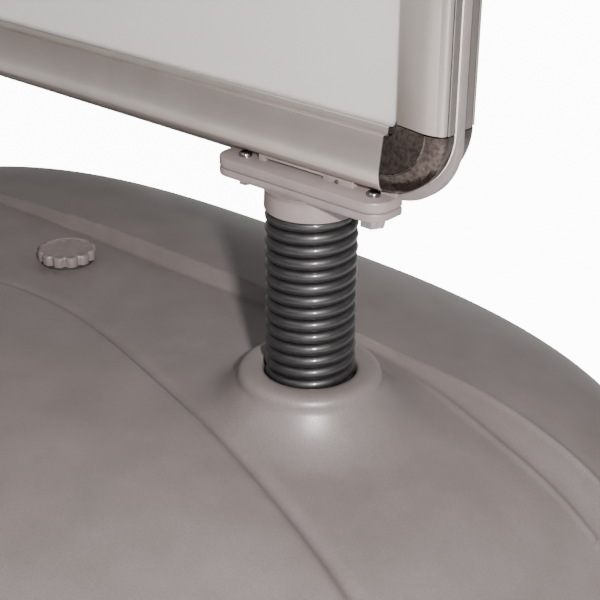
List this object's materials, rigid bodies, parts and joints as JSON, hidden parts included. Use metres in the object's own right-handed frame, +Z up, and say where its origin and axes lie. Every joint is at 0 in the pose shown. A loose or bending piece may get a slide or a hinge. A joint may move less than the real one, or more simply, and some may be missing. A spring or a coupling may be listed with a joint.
{
  "type": "spring-mounted pavement poster sign",
  "caption": "Double-sided snap-frame poster sign held upright by coil springs on a wheeled, water-filled moulded base.",
  "frame": {"origin": "middle of the footprint, on the ground", "axes": "+Z up, +X along the sign to its right end seen from the front, -Y out of the front face"},
  "size_m": [0.8628, 0.56, 1.1855],
  "materials": {
    "base_plastic": "grain-textured moulded polyethylene",
    "bright_steel": "bright zinc plated",
    "cap_plastic": "moulded polyethylene",
    "clamp_plastic": "moulded nylon, light grey",
    "clear_sheet": "clear PVC, matt anti-glare",
    "corner_chrome": "plated plastic, mirror bright",
    "hoop_plastic": "extruded PVC edge strip",
    "leaf_steel": "spring steel",
    "panel_board": "light plastic board",
    "paper": "printed paper, blank",
    "plug_plastic": "moulded nylon",
    "profile_aluminium": "satin anodised",
    "rail_aluminium": "mill finish",
    "seal_rubber": "matt",
    "spring_black": "satin black coating",
    "wheel_plastic": "moulded"
  },
  "bodies": {
    "base": {"base_bolts": "bright_steel", "base_nuts": "bright_steel", "base_tank": "base_plastic", "base_washers": "bright_steel", "spring_left": "spring_black", "spring_plug_left": "plug_plastic", "spring_plug_right": "plug_plastic", "spring_right": "spring_black", "wheel_pins": "bright_steel"},
    "board": {"clamp_nuts_inner": "bright_steel", "clamp_nuts_outer": "bright_steel", "clamp_plate_left": "clamp_plastic", "clamp_plate_right": "clamp_plastic", "clamp_screws": "bright_steel", "core_panel": "panel_board", "corner_keys": "bright_steel", "corner_lower_left_front": "corner_chrome", "corner_lower_left_rear": "corner_chrome", "corner_lower_right_front": "corner_chrome", "corner_lower_right_rear": "corner_chrome", "corner_upper_left_front": "corner_chrome", "corner_upper_left_rear": "corner_chrome", "corner_upper_right_front": "corner_chrome", "corner_upper_right_rear": "corner_chrome", "cover_sheet_front": "clear_sheet", "cover_sheet_rear": "clear_sheet", "edge_hoop": "hoop_plastic", "poster_front": "paper", "poster_rear": "paper", "rail_bottom_front": "rail_aluminium", "rail_bottom_rear": "rail_aluminium", "rail_left_front": "rail_aluminium", "rail_left_rear": "rail_aluminium", "rail_right_front": "rail_aluminium", "rail_right_rear": "rail_aluminium", "rail_top_front": "rail_aluminium", "rail_top_rear": "rail_aluminium", "saddle_studs": "bright_steel", "snap_leaves_front": "leaf_steel", "snap_leaves_rear": "leaf_steel", "spring_cap_left": "clamp_plastic", "spring_cap_right": "clamp_plastic"},
    "filler_seal": {"filler_seal": "seal_rubber"},
    "filler_cap": {"filler_cap": "cap_plastic"},
    "wheel_front": {"wheel_front": "wheel_plastic"},
    "wheel_rear": {"wheel_rear": "wheel_plastic"},
    "flap_bottom_front": {"flap_bottom_front": "profile_aluminium"},
    "flap_top_front": {"flap_top_front": "profile_aluminium"},
    "flap_right_front": {"flap_right_front": "profile_aluminium"},
    "flap_left_front": {"flap_left_front": "profile_aluminium"},
    "flap_bottom_rear": {"flap_bottom_rear": "profile_aluminium"},
    "flap_top_rear": {"flap_top_rear": "profile_aluminium"},
    "flap_right_rear": {"flap_right_rear": "profile_aluminium"},
    "flap_left_rear": {"flap_left_rear": "profile_aluminium"}
  },
  "joints": [
    {"name": "sign_rock", "type": "hinge", "parent": "base", "child": "board", "pos_m": [0, 0, 0.2177], "axis": [1, 0, 0], "range_deg": [-18, 18], "stiffness_Nm_per_rad": 320, "deforming": ["spring_left", "spring_right"]},
    {"name": "bottom_flap_front", "type": "hinge", "parent": "board", "child": "flap_bottom_front", "pos_m": [0, -0.0123, 0.3027], "axis": [1, 0, 0], "range_deg": [0, 92]},
    {"name": "top_flap_front", "type": "hinge", "parent": "board", "child": "flap_top_front", "pos_m": [0, -0.0123, 1.1813], "axis": [-1, 0, 0], "range_deg": [0, 92]},
    {"name": "right_flap_front", "type": "hinge", "parent": "board", "child": "flap_right_front", "pos_m": [0.3158, -0.0123, 0.742], "axis": [0, 0, 1], "range_deg": [0, 92]},
    {"name": "left_flap_front", "type": "hinge", "parent": "board", "child": "flap_left_front", "pos_m": [-0.3158, -0.0123, 0.742], "axis": [0, 0, -1], "range_deg": [0, 92]},
    {"name": "bottom_flap_rear", "type": "hinge", "parent": "board", "child": "flap_bottom_rear", "pos_m": [0, 0.0123, 0.3027], "axis": [-1, 0, 0], "range_deg": [0, 92]},
    {"name": "top_flap_rear", "type": "hinge", "parent": "board", "child": "flap_top_rear", "pos_m": [0, 0.0123, 1.1813], "axis": [1, 0, 0], "range_deg": [0, 92]},
    {"name": "right_flap_rear", "type": "hinge", "parent": "board", "child": "flap_right_rear", "pos_m": [0.3158, 0.0123, 0.742], "axis": [0, 0, -1], "range_deg": [0, 92]},
    {"name": "left_flap_rear", "type": "hinge", "parent": "board", "child": "flap_left_rear", "pos_m": [-0.3158, 0.0123, 0.742], "axis": [0, 0, 1], "range_deg": [0, 92]},
    {"name": "filler_lift", "type": "slide", "parent": "base", "child": "filler_seal", "axis": [0, 0, 1], "range_m": [0, 0.012]},
    {"name": "filler_turn", "type": "hinge", "parent": "filler_seal", "child": "filler_cap", "pos_m": [-0.068, 0.047, 0.14], "axis": [0, 0, 1], "range_deg": [0, 1080]},
    {"name": "wheel_front_spin", "type": "hinge", "parent": "base", "child": "wheel_front", "pos_m": [-0.368, -0.15, 0.043], "axis": [0, 1, 0], "continuous": true},
    {"name": "wheel_rear_spin", "type": "hinge", "parent": "base", "child": "wheel_rear", "pos_m": [-0.368, 0.15, 0.043], "axis": [0, 1, 0], "continuous": true}
  ],
  "couplings": [
    {"joint": "filler_turn", "follows": "filler_lift", "rad_per_m": 1570.8}
  ]
}
